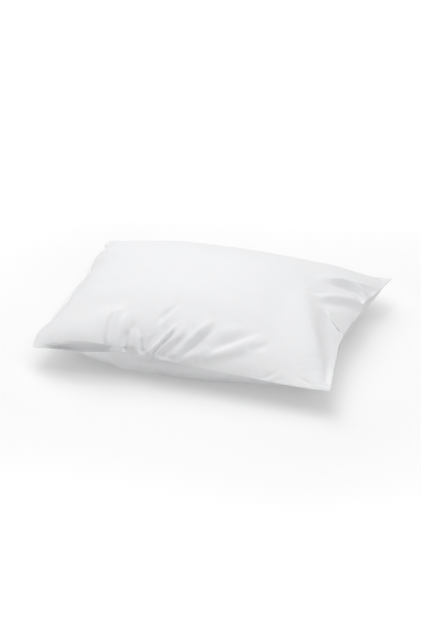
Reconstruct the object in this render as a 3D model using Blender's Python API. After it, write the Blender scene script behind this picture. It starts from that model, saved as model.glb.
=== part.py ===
"""A white 50 x 60 cm pillowcase, filled and lying on its back: one closed solid, in metres, +Z up.

Two cloth panels meet in one seam that runs round four sides. The seam is pulled in between its
corners and the corners stay out as flat ears. The top panel rises from the seam to a broad crown,
the under panel rounds down to a flat foot at z = 0. Gathers fan out from the front seam, where the
cloth was pulled tight, and the right flank falls in long folds. +X runs along the long side and +Y
away from the front seam.
"""

from collections import namedtuple

import bpy
import numpy as np

MM = 0.001

# Driving sizes, in millimetres.
LONG = 580.0  # between two corner tips, along X
SHORT = 465.0  # between two corner tips, along Y
CORNER_HEIGHT = 52.0  # of the corner tips above the surface it lies on
TOP_RISE = 80.0  # of the crown above the seam
TOP_REACH_LONG = 290.0  # from a short side to where the crown is full
TOP_REACH_SHORT = 232.5  # from a long side to where the crown is full
CROWN_POWER = 2.4  # roundness of the crown: 2 is a parabola, more is a flatter top
CLOTH = 1.1  # half the thickness of the two pressed layers along the seam
CLOTH_RAMP = 2.0  # from the stitched edge to that full thickness

COLUMNS = 150  # squares of cloth along X, before the mesh is thinned
ROWS = 116  # squares of cloth along Y
MOST_TRIANGLES = 11600  # left after thinning, most of them where the cloth bends
FOLD_STEPS = 20  # straight pieces in one fold's line
RISE_RUN = 0.4  # share of a fold's run in which it reaches its height
FADE_FROM = 0.45  # share of the run where it starts to fade
SEAM_FADE = 4.0  # distance from the stitched edge where the folds are whole
FOOT_LEVEL = 0.05  # points this low lie on the surface
FOOT_FADE = 16.0  # height above the surface where the folds of the under panel are whole
BELL_POWER = 2.0  # of a fold's cross-section: 2 is a smooth bell, less is more of a crease

NAME = "pillowcase"
CLOTH_COLOUR = (0.87, 0.87, 0.88, 1.0)
CLOTH_ROUGHNESS = 0.85

# How closely the squares are spaced across the case: a higher number is finer there.
Spacing = namedtuple("Spacing", "place fineness")
COLUMN_SPACING = (
    Spacing(0.00, 2.6),
    Spacing(0.06, 1.1),
    Spacing(0.25, 1.1),
    Spacing(0.42, 1.3),
    Spacing(0.62, 1.2),
    Spacing(0.80, 1.0),
    Spacing(0.93, 1.2),
    Spacing(1.00, 2.6),
)
ROW_SPACING = (
    Spacing(0.00, 5.0),
    Spacing(0.04, 3.0),
    Spacing(0.12, 1.6),
    Spacing(0.25, 1.0),
    Spacing(0.80, 1.0),
    Spacing(0.94, 1.1),
    Spacing(1.00, 3.0),
)

# The seam, side by side. along runs from 0 at the left or front corner to 1, drawn_in is how far the
# side is pulled towards the middle, lift its height over the corners, lip the flat pressed edge,
# top_power how late the top panel rises, foot_reach how far in the under panel meets the surface,
# and foot_power how late it turns down.
Side = namedtuple("Side", "along drawn_in lift lip top_power foot_reach foot_power")
FRONT = (
    Side(0.00, 0.0, 0.0, 2.0, 0.95, 190.0, 1.30),
    Side(0.05, 1.0, 1.5, 2.0, 0.75, 180.0, 1.30),
    Side(0.10, 2.0, 2.0, 1.5, 0.62, 160.0, 1.20),
    Side(0.15, 3.0, 2.5, 1.0, 0.58, 130.0, 1.00),
    Side(0.24, 11.0, 6.0, 1.0, 0.56, 90.0, 0.70),
    Side(0.30, 16.0, 8.0, 1.0, 0.58, 68.0, 0.56),
    Side(0.37, 16.0, 7.5, 1.0, 0.60, 60.0, 0.52),
    Side(0.44, 13.5, 5.0, 1.0, 0.66, 58.0, 0.50),
    Side(0.58, 11.0, 2.0, 1.0, 0.78, 56.0, 0.50),
    Side(0.72, 7.0, 0.0, 1.0, 0.82, 85.0, 0.50),
    Side(0.84, 3.5, -2.0, 1.0, 0.84, 145.0, 0.50),
    Side(0.92, 1.0, -2.0, 4.0, 0.90, 160.0, 0.55),
    Side(1.00, 0.0, 0.0, 8.0, 1.10, 170.0, 0.70),
)
RIGHT = (
    Side(0.00, 0.0, 0.0, 8.0, 1.10, 150.0, 0.70),
    Side(0.05, 3.0, 0.0, 6.0, 0.95, 120.0, 0.60),
    Side(0.13, 10.5, 1.0, 3.0, 0.80, 90.0, 0.65),
    Side(0.25, 20.5, 3.0, 1.5, 0.72, 80.0, 0.80),
    Side(0.36, 28.0, 4.0, 1.0, 0.70, 80.0, 1.00),
    Side(0.43, 28.5, 4.0, 1.0, 0.70, 80.0, 1.00),
    Side(0.53, 26.5, 4.0, 1.0, 0.70, 70.0, 0.90),
    Side(0.66, 22.0, 4.0, 1.0, 0.68, 50.0, 0.60),
    Side(0.75, 23.5, 3.0, 1.0, 0.68, 42.0, 0.50),
    Side(0.81, 17.5, 2.5, 1.0, 0.70, 50.0, 0.52),
    Side(0.91, 7.0, 1.5, 1.5, 0.76, 90.0, 0.60),
    Side(1.00, 0.0, 0.0, 3.0, 1.00, 150.0, 0.90),
)
BACK = (
    Side(0.00, 0.0, 0.0, 2.0, 0.66, 150.0, 1.10),
    Side(0.10, 5.0, 1.0, 1.0, 0.52, 110.0, 0.80),
    Side(0.25, 12.0, 3.0, 1.0, 0.60, 70.0, 0.55),
    Side(0.50, 16.0, 4.0, 1.0, 0.62, 60.0, 0.50),
    Side(0.70, 14.0, 3.0, 1.0, 0.60, 70.0, 0.55),
    Side(0.88, 7.0, 1.0, 1.0, 0.54, 110.0, 0.80),
    Side(1.00, 0.0, 0.0, 3.0, 0.90, 150.0, 1.00),
)
LEFT = (
    Side(0.00, 0.0, 0.0, 2.0, 0.85, 170.0, 1.30),
    Side(0.06, -6.0, 0.5, 2.0, 0.66, 150.0, 1.10),
    Side(0.13, -6.0, 1.0, 2.0, 0.60, 120.0, 0.90),
    Side(0.20, -2.0, 1.5, 3.0, 0.60, 100.0, 0.80),
    Side(0.28, -0.5, 2.0, 4.0, 0.60, 80.0, 0.60),
    Side(0.36, 1.0, 2.0, 5.0, 0.60, 75.0, 0.60),
    Side(0.50, 1.5, 3.0, 6.0, 0.60, 70.0, 0.55),
    Side(0.62, 5.5, 3.0, 5.0, 0.60, 75.0, 0.60),
    Side(0.72, 0.5, 2.0, 4.0, 0.58, 85.0, 0.65),
    Side(0.86, -1.0, 1.0, 2.0, 0.58, 110.0, 0.85),
    Side(0.90, 1.5, 0.5, 2.0, 0.60, 125.0, 0.95),
    Side(0.95, -4.0, 0.0, 2.0, 0.62, 140.0, 1.05),
    Side(1.00, 0.0, 0.0, 2.0, 0.66, 150.0, 1.10),
)

# Folds of the top panel. Each runs from start over bend to end, all (mm from the left side, mm from
# the front side). height is its raise, a trough where it is negative, left and right are its half
# widths to either side of its line, and root is how much of the height it has at its start.
Fold = namedtuple("Fold", "start bend end height left right root")
TOP_FOLDS = (
    # The cloth rolls over the seam at the left of the front, and tucks in under that roll.
    Fold((6, 6), (85, 12), (178, 5), 11.0, 15.0, 12.0, 0.3),
    Fold((24, 1), (96, 2), (186, 1), -7.0, 9.0, 9.0, 0.2),
    # It swells out over the left seam near the front corner.
    Fold((2, 92), (2, 48), (3, 8), 3.5, 18.0, 18.0, 0.3),
    # Small creases in the tight cloth beside the pull.
    Fold((149, 4), (146, 22), (147, 50), -5.0, 7.0, 7.0, 0.5),
    Fold((157, 4), (160, 26), (161, 54), 3.0, 8.0, 8.0, 0.4),
    Fold((172, 6), (168, 38), (182, 70), -3.5, 7.0, 7.0, 0.5),
    Fold((183, 0), (188, 13), (196, 42), 4.0, 8.0, 8.0, 0.9),
    Fold((203, 0), (205, 8), (213, 36), -5.0, 7.0, 7.0, 1.0),
    Fold((222, 0), (227, 9), (239, 38), 4.0, 7.0, 7.0, 0.9),
    # Gathers that fan out from the pull, each a ridge with a trough to its right.
    Fold((231, 0), (247, 18), (264, 50), -5.0, 6.0, 6.0, 1.0),
    Fold((240, 0), (280, 33), (320, 92), 5.0, 9.0, 7.0, 0.9),
    Fold((250, 38), (264, 70), (286, 104), -3.5, 8.0, 8.0, 0.3),
    Fold((246, 0), (275, 17), (300, 50), -6.0, 6.0, 6.0, 1.0),
    Fold((254, 0), (294, 20), (326, 68), 5.5, 8.0, 7.0, 0.9),
    Fold((267, 0), (300, 17), (334, 52), -6.5, 6.0, 7.0, 1.0),
    Fold((299, 1), (336, 34), (372, 84), 5.5, 9.0, 8.0, 0.7),
    Fold((306, 1), (345, 25), (384, 76), -8.0, 7.0, 8.0, 0.8),
    Fold((314, 0), (356, 11), (400, 36), 6.5, 9.0, 10.0, 0.6),
    Fold((341, 0), (400, 11), (486, 52), -6.0, 7.0, 10.0, 0.6),
    Fold((367, 11), (426, 31), (486, 80), 6.5, 9.0, 11.0, 0.5),
    Fold((380, 20), (414, 42), (470, 98), -6.5, 10.0, 9.0, 0.6),
    Fold((397, 52), (430, 70), (466, 120), 4.5, 14.0, 12.0, 0.3),
    Fold((399, 4), (447, 9), (504, 14), 3.0, 8.0, 8.0, 0.3),
    # Long folds of the right flank.
    Fold((579, 365), (543, 370), (462, 296), 5.5, 9.0, 16.0, 0.3),
    Fold((579, 354), (548, 352), (462, 278), -7.0, 12.0, 9.0, 0.8),
    Fold((578, 311), (545, 293), (478, 232), 7.0, 9.0, 14.0, 0.8),
    Fold((576, 284), (540, 268), (482, 218), -6.5, 14.0, 9.0, 0.9),
    Fold((560, 224), (536, 224), (500, 216), 4.0, 8.0, 10.0, 0.6),
    Fold((576, 192), (556, 210), (528, 224), -7.0, 7.0, 6.0, 1.0),
    Fold((575, 165), (562, 170), (540, 184), -3.5, 7.0, 7.0, 0.8),
    # The edge between the crown and the right flank.
    Fold((573, 29), (534, 120), (486, 212), 6.0, 34.0, 14.0, 0.3),
)
UNDER_FOLDS = (
    # It tucks in below the front seam and bulges out again lower down.
    Fold((262, 3), (400, 7), (545, 5), -6.0, 9.0, 9.0, 0.3),
    Fold((120, 10), (250, 26), (430, 30), 4.0, 14.0, 14.0, 0.2),
)


def column(rows, field):
    """One named column of a table, as an array."""
    return np.array([getattr(row, field) for row in rows])


def smooth_value(rows, place, field, at):
    """A table's column read at any place, on a curve that passes through each row without a kink."""
    places, values = column(rows, place), column(rows, field)
    slopes = np.gradient(values, places)
    first = np.clip(np.searchsorted(places, at, side="right") - 1, 0, len(places) - 2)
    step = places[first + 1] - places[first]
    t = (at - places[first]) / step
    start = (1 + 2 * t) * (1 - t) ** 2 * values[first] + t * (1 - t) ** 2 * step * slopes[first]
    end = t**2 * (3 - 2 * t) * values[first + 1] + t**2 * (t - 1) * step * slopes[first + 1]
    return start + end


def ease(t):
    """0 before t = 0, 1 after t = 1, and a soft rise between."""
    t = np.clip(t, 0, 1)
    return t * t * (3 - 2 * t)


def spaced(count, spacing):
    """count + 1 places from 0 to 1, closer together where the spacing is finer."""
    fine = np.linspace(0, 1, 1001)
    density = smooth_value(spacing, "place", "fineness", fine)
    length = np.concatenate([[0], np.cumsum((density[1:] + density[:-1]) / 2)])
    return np.interp(np.linspace(0, length[-1], count + 1), length, fine)


def seam_height(side, at):
    return CORNER_HEIGHT + smooth_value(side, "along", "lift", at)


def seam_surface(u, v):
    """The smooth sheet that the four seam curves bound: opposite sides blended, less the corners."""
    front, back = (smooth_value(side, "along", "drawn_in", u) for side in (FRONT, BACK))
    left, right = (smooth_value(side, "along", "drawn_in", v) for side in (LEFT, RIGHT))
    x = (u - 0.5) * LONG + (1 - u) * left - u * right
    y = (v - 0.5) * SHORT + (1 - v) * front - v * back
    across = (1 - v) * seam_height(FRONT, u) + v * seam_height(BACK, u)
    along = (1 - u) * seam_height(LEFT, v) + u * seam_height(RIGHT, v)
    return np.stack([x, y, across + along - CORNER_HEIGHT], axis=-1)


def side_distances(u, v):
    """For each side: its table, the place along it and the distance in from it."""
    return (
        (FRONT, u, v * SHORT, TOP_REACH_SHORT),
        (BACK, u, (1 - v) * SHORT, TOP_REACH_SHORT),
        (LEFT, v, u * LONG, TOP_REACH_LONG),
        (RIGHT, v, (1 - u) * LONG, TOP_REACH_LONG),
    )


def fullness(u, v, top):
    """0 on the seam's pressed lip and 1 at the full crown, or over the foot: a product of four sides."""
    full = np.ones_like(u)
    for side, along, inward, top_reach in side_distances(u, v):
        lip = np.clip(smooth_value(side, "along", "lip", along), 0, None)
        power = smooth_value(side, "along", "top_power" if top else "foot_power", along)
        reach = top_reach if top else smooth_value(side, "along", "foot_reach", along)
        round_power = CROWN_POWER if top else 2
        part = np.clip((inward - lip) / (reach - lip), 0, 1)
        full = full * (1 - (1 - part) ** round_power) ** power
    return full


def seam_distance(u, v):
    """How far each point of the flat cloth is from the nearest stitched edge."""
    return np.min([inward for _, _, inward, _ in side_distances(u, v)], axis=0)


def cloth_half(u, v):
    """Half the thickness of the pressed layers: none at the stitched edge, full a little way in."""
    return CLOTH * np.sqrt(1 - (1 - np.clip(seam_distance(u, v) / CLOTH_RAMP, 0, 1)) ** 2)


def top_panel(u, v):
    """The top panel without its folds."""
    points = seam_surface(u, v)
    points[..., 2] += cloth_half(u, v) + TOP_RISE * fullness(u, v, True)
    return points


def under_panel(u, v):
    """The under panel: the seam's height brought down to a flat foot."""
    points = seam_surface(u, v)
    left_over = 1 - fullness(u, v, False)
    points[..., 2] = np.clip(points[..., 2] - cloth_half(u, v), 0, None) * left_over
    return points


def normals(points):
    """Unit vectors square to a grid of points."""
    across = np.cross(np.gradient(points, axis=0), np.gradient(points, axis=1))
    return across / np.maximum(np.linalg.norm(across, axis=-1, keepdims=True), 1e-9)


def fold_line(panel, fold):
    """Points along a fold on a panel, and how far along its run each is."""
    t = np.linspace(0, 1, FOLD_STEPS + 1)[:, None]
    start, bend, end = (np.array(place, float) for place in (fold.start, fold.bend, fold.end))
    middle = 2 * bend - (start + end) / 2
    flat = (1 - t) ** 2 * start + 2 * t * (1 - t) * middle + t**2 * end
    return panel(np.clip(flat[:, 0] / LONG, 0, 1), np.clip(flat[:, 1] / SHORT, 0, 1)), t[:, 0]


def fold_raise(points, out, panel, fold):
    """How far one fold lifts each point: a soft bell across its line that fades along its run."""
    line, run = fold_line(panel, fold)
    lift = np.zeros(points.shape[:-1])
    for a, b, run_a, run_b in zip(line[:-1], line[1:], run[:-1], run[1:]):
        way = b - a
        way_length = max(np.linalg.norm(way), 1e-6)
        t = np.clip((points - a) @ way / way_length**2, 0, 1)
        offset = points - a - t[..., None] * way
        distance = np.maximum(np.linalg.norm(offset, axis=-1), 1e-6)
        side = np.einsum("...i,...i", np.cross(out, way / way_length), offset) / distance
        width = (fold.left + fold.right) / 2 + side * (fold.left - fold.right) / 2
        along = run_a + t * (run_b - run_a)
        rise = fold.root + (1 - fold.root) * ease(along / RISE_RUN)
        fade = 1 - ease((along - FADE_FROM) / (1 - FADE_FROM))
        lift = np.maximum(lift, rise * fade * np.exp(-((distance / width) ** BELL_POWER)))
    return fold.height * lift


def folded(panel, folds, outward, u, v):
    """A panel with its folds, which fade out at the stitched edge and at the surface it lies on."""
    points = panel(u, v)
    out = outward * normals(points)
    lift = sum(fold_raise(points, out, panel, fold) for fold in folds)
    kept = ease(seam_distance(u, v) / SEAM_FADE) * ease(points[..., 2] / FOOT_FADE)
    return points + out * (lift * kept)[..., None]


def triangles(number, rising):
    """Two triangles for each square of a grid of point numbers, split towards the nearest corner."""
    a, b, c, d = number[:-1, :-1], number[1:, :-1], number[1:, 1:], number[:-1, 1:]
    rising = rising[..., None]
    first = np.where(rising, np.stack([a, b, c], axis=-1), np.stack([a, b, d], axis=-1))
    second = np.where(rising, np.stack([a, c, d], axis=-1), np.stack([b, c, d], axis=-1))
    return np.concatenate([first.reshape(-1, 3), second.reshape(-1, 3)])


def closed_case():
    """The two panels as one closed mesh: (points in metres, faces)."""
    u, v = np.meshgrid(spaced(COLUMNS, COLUMN_SPACING), spaced(ROWS, ROW_SPACING), indexing="ij")
    top = folded(top_panel, TOP_FOLDS, 1, u, v)
    under = folded(under_panel, UNDER_FOLDS, -1, u, v)
    number = np.arange(u.size).reshape(u.shape)
    inside = np.zeros(u.shape, bool)
    inside[1:-1, 1:-1] = True
    below = number.copy()
    below[inside] = u.size + np.arange(inside.sum())
    points = np.concatenate([top.reshape(-1, 3), under[inside]])
    middle = (points.max(axis=0) + points.min(axis=0)) / 2
    points -= (middle[0], middle[1], 0)
    rising = (u[:-1, :-1] < 0.5) == (v[:-1, :-1] < 0.5)
    faces = np.concatenate([triangles(number, rising), triangles(below, rising)[:, ::-1]])
    return points * MM, faces


def cloth_material():
    """White woven cotton, matt."""
    material = bpy.data.materials.new("white_cotton")
    material.use_nodes = True
    shader = material.node_tree.nodes["Principled BSDF"]
    shader.inputs["Base Color"].default_value = CLOTH_COLOUR
    shader.inputs["Roughness"].default_value = CLOTH_ROUGHNESS
    shader.inputs["Metallic"].default_value = 0.0
    return material


def thin(case):
    """Joins small faces where the cloth is nearly flat, down to MOST_TRIANGLES."""
    decimate = case.modifiers.new("thin", "DECIMATE")
    decimate.decimate_type = "COLLAPSE"
    decimate.ratio = MOST_TRIANGLES / len(case.data.polygons)
    thinned = case.evaluated_get(bpy.context.evaluated_depsgraph_get())
    case.data = bpy.data.meshes.new_from_object(thinned)
    case.modifiers.clear()


def level_foot(mesh):
    """Presses the foot exactly flat, because thinning leaves it uneven by some hundredths of a millimetre."""
    for point in mesh.vertices:
        if point.co.z < FOOT_LEVEL * MM:
            point.co.z = 0


def main():
    for old in list(bpy.data.objects):
        bpy.data.objects.remove(old, do_unlink=True)
    points, faces = closed_case()
    mesh = bpy.data.meshes.new(NAME)
    mesh.from_pydata(points.tolist(), [], faces.tolist())
    mesh.validate()
    mesh.materials.append(cloth_material())
    mesh.shade_smooth()
    case = bpy.data.objects.new(NAME, mesh)
    bpy.context.scene.collection.objects.link(case)
    thin(case)
    level_foot(case.data)


main()
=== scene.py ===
"""A white cotton pillowcase, filled and lying on its back, with its finish, its studio and its camera.

The case is one closed surface over the rectangle of its flat cloth. u runs from 0 at the mouth, on the
left, to 1 at the right side, and v from 0 at the front seam to 1 at the back seam. Sizes are in
millimetres, and meshes are put down in metres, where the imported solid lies.
"""

from __future__ import annotations

import logging
import math
from collections.abc import Sequence
from dataclasses import dataclass
from enum import Enum
from typing import NamedTuple

import bpy
import numpy as np
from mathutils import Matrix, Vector


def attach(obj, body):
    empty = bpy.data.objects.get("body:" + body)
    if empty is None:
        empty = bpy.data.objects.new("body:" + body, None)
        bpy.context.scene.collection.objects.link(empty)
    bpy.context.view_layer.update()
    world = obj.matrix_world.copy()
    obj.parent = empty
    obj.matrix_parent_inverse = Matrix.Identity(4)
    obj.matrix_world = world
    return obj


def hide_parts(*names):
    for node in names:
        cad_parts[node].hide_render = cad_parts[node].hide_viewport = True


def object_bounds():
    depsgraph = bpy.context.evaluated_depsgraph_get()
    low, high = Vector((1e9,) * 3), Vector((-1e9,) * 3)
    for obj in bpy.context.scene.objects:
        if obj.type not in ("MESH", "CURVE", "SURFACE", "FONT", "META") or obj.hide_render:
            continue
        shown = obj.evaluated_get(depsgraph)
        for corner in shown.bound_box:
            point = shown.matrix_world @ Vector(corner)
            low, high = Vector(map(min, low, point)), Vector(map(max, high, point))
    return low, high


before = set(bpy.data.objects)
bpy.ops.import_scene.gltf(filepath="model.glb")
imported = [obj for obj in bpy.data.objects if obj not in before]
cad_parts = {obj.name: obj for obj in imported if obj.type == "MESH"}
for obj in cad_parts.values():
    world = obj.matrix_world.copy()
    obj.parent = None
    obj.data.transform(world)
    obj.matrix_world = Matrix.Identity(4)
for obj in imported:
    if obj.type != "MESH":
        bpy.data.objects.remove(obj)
CAD_LOW, CAD_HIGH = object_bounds()

MM = 0.001
TINY = 1e-9  # the least length that anything is divided by
NODE = "pillowcase"
BODY = "root"
FLAT_CLOTH_MAP = "flat_cloth"
WHITE = "FFFFFF"

log = logging.getLogger("pillowcase")


# ---- Tables and curves ----


@dataclass(frozen=True)
class Spacing:
    """How finely the cloth is divided at a place from 0 to 1: a higher number is finer."""

    place: float
    fineness: float


@dataclass(frozen=True)
class Side:
    """The seam at one place along a side, in millimetres.

    along runs from 0 at the left or front corner to 1. drawn_in is how far the side is pulled towards
    the middle, lift its height over the corners, lip the flat pressed edge, top_power how late the top
    panel rises, foot_reach how far in the under panel meets the surface and foot_power how late it
    turns down.
    """

    along: float
    drawn_in: float
    lift: float
    lip: float
    top_power: float
    foot_reach: float
    foot_power: float


@dataclass(frozen=True)
class Fold:
    """One fold, from start over bend to end, each (mm from the left side, mm from the front).

    height is how far it rises, or sinks where it is negative. left and right are its half widths to
    either side of its line, and root is the share of its height that it has at its start. lean is which
    way, and how strongly, it laps over. rise is the share of its run in which it reaches its height, and
    fade the share at which it starts to fade.
    """

    start: tuple[float, float]
    bend: tuple[float, float]
    end: tuple[float, float]
    height: float
    left: float
    right: float
    root: float
    lean: tuple[float, float, float] = (0.0, 0.0, 0.0)
    rise: float = 0.4
    fade: float = 0.45


class Panel(Enum):
    """The two faces of the case, with the sign of their outward side."""

    TOP = 1
    UNDER = -1


# The cloth is divided more finely towards its seams, and where its folds are narrow.
COLUMN_SPACING = (
    Spacing(0.00, 4.0),
    Spacing(0.02, 2.0),
    Spacing(0.06, 1.1),
    Spacing(0.25, 1.2),
    Spacing(0.42, 1.3),
    Spacing(0.62, 1.2),
    Spacing(0.80, 1.1),
    Spacing(0.93, 1.8),
    Spacing(1.00, 2.6),
)
ROW_SPACING = (
    Spacing(0.00, 5.0),
    Spacing(0.04, 3.0),
    Spacing(0.12, 1.8),
    Spacing(0.25, 1.1),
    Spacing(0.37, 1.1),
    Spacing(0.45, 1.8),
    Spacing(0.54, 1.1),
    Spacing(0.80, 1.0),
    Spacing(0.94, 1.1),
    Spacing(1.00, 3.0),
)

# The seams, with a row for each place where one turns, or where the cloth beside it changes.
FRONT = (
    Side(0.00, 0.0, 0.0, 2.0, 0.95, 190.0, 1.30),
    Side(0.05, 1.0, 1.5, 2.0, 0.75, 180.0, 1.30),
    Side(0.10, 2.0, 2.0, 1.5, 0.62, 160.0, 1.20),
    Side(0.15, 3.0, 2.5, 1.0, 0.58, 130.0, 1.00),
    Side(0.24, 11.0, 6.0, 1.0, 0.56, 90.0, 0.70),
    Side(0.30, 16.0, 8.0, 1.0, 0.58, 68.0, 0.56),
    Side(0.37, 16.0, 7.5, 1.0, 0.60, 54.0, 0.80),
    Side(0.44, 13.5, 5.0, 1.0, 0.66, 48.0, 1.25),
    Side(0.58, 11.0, 2.0, 1.0, 0.78, 54.0, 2.00),
    Side(0.72, 7.0, 0.0, 1.0, 0.82, 77.0, 2.30),
    Side(0.84, 3.5, -2.0, 1.0, 0.84, 95.0, 2.30),
    Side(0.92, 1.0, -2.0, 4.0, 0.90, 104.0, 1.80),
    Side(1.00, 0.0, 0.0, 8.0, 1.10, 150.0, 0.90),
)
RIGHT = (
    Side(0.00, 0.0, 0.0, 8.0, 1.10, 150.0, 0.70),
    Side(0.05, 3.0, 0.0, 6.0, 1.05, 120.0, 0.60),
    Side(0.13, 10.5, 1.0, 3.0, 0.98, 90.0, 0.65),
    Side(0.25, 20.5, 3.0, 1.5, 0.94, 80.0, 0.80),
    Side(0.36, 28.0, 4.0, 1.0, 0.92, 80.0, 1.00),
    Side(0.43, 28.5, 4.0, 1.0, 0.90, 80.0, 1.00),
    Side(0.53, 26.5, 4.0, 1.0, 0.86, 70.0, 0.90),
    Side(0.66, 22.0, 4.0, 1.0, 0.82, 50.0, 0.60),
    Side(0.75, 23.5, 3.0, 1.0, 0.80, 42.0, 0.50),
    Side(0.81, 17.5, 2.5, 1.0, 0.78, 50.0, 0.52),
    Side(0.91, 7.0, 1.5, 1.5, 0.80, 90.0, 0.60),
    Side(1.00, 0.0, 0.0, 3.0, 1.00, 150.0, 0.90),
)
BACK = (
    Side(0.00, 0.0, 0.0, 2.0, 0.80, 150.0, 1.10),
    Side(0.10, 5.0, 1.0, 1.0, 0.66, 110.0, 0.80),
    Side(0.25, 12.0, 3.0, 1.0, 0.65, 70.0, 0.55),
    Side(0.50, 16.0, 4.0, 1.0, 0.62, 60.0, 0.50),
    Side(0.70, 14.0, 3.0, 1.0, 0.60, 70.0, 0.55),
    Side(0.88, 7.0, 1.0, 1.0, 0.54, 110.0, 0.80),
    Side(1.00, 0.0, 0.0, 3.0, 0.90, 150.0, 1.00),
)
LEFT = (
    Side(0.00, 0.0, 0.0, 2.0, 0.85, 170.0, 1.30),
    Side(0.06, -6.0, 0.5, 2.0, 0.66, 150.0, 1.10),
    Side(0.13, -6.0, 1.0, 2.0, 0.60, 120.0, 0.90),
    Side(0.20, -2.0, 1.5, 3.0, 0.60, 100.0, 0.80),
    Side(0.28, -0.5, 2.0, 4.0, 0.60, 80.0, 0.60),
    Side(0.36, 1.0, 2.0, 5.0, 0.60, 75.0, 0.60),
    Side(0.50, 1.5, 3.0, 6.0, 0.60, 70.0, 0.55),
    Side(0.62, 5.5, 3.0, 5.0, 0.60, 75.0, 0.60),
    Side(0.72, 0.5, 2.0, 4.0, 0.58, 85.0, 0.65),
    Side(0.86, -1.0, 1.0, 2.0, 0.58, 110.0, 0.85),
    Side(0.90, 1.5, 0.5, 2.0, 0.60, 125.0, 0.95),
    Side(0.95, -4.0, 0.0, 2.0, 0.62, 140.0, 1.05),
    Side(1.00, 0.0, 0.0, 2.0, 0.66, 150.0, 1.10),
)

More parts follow.
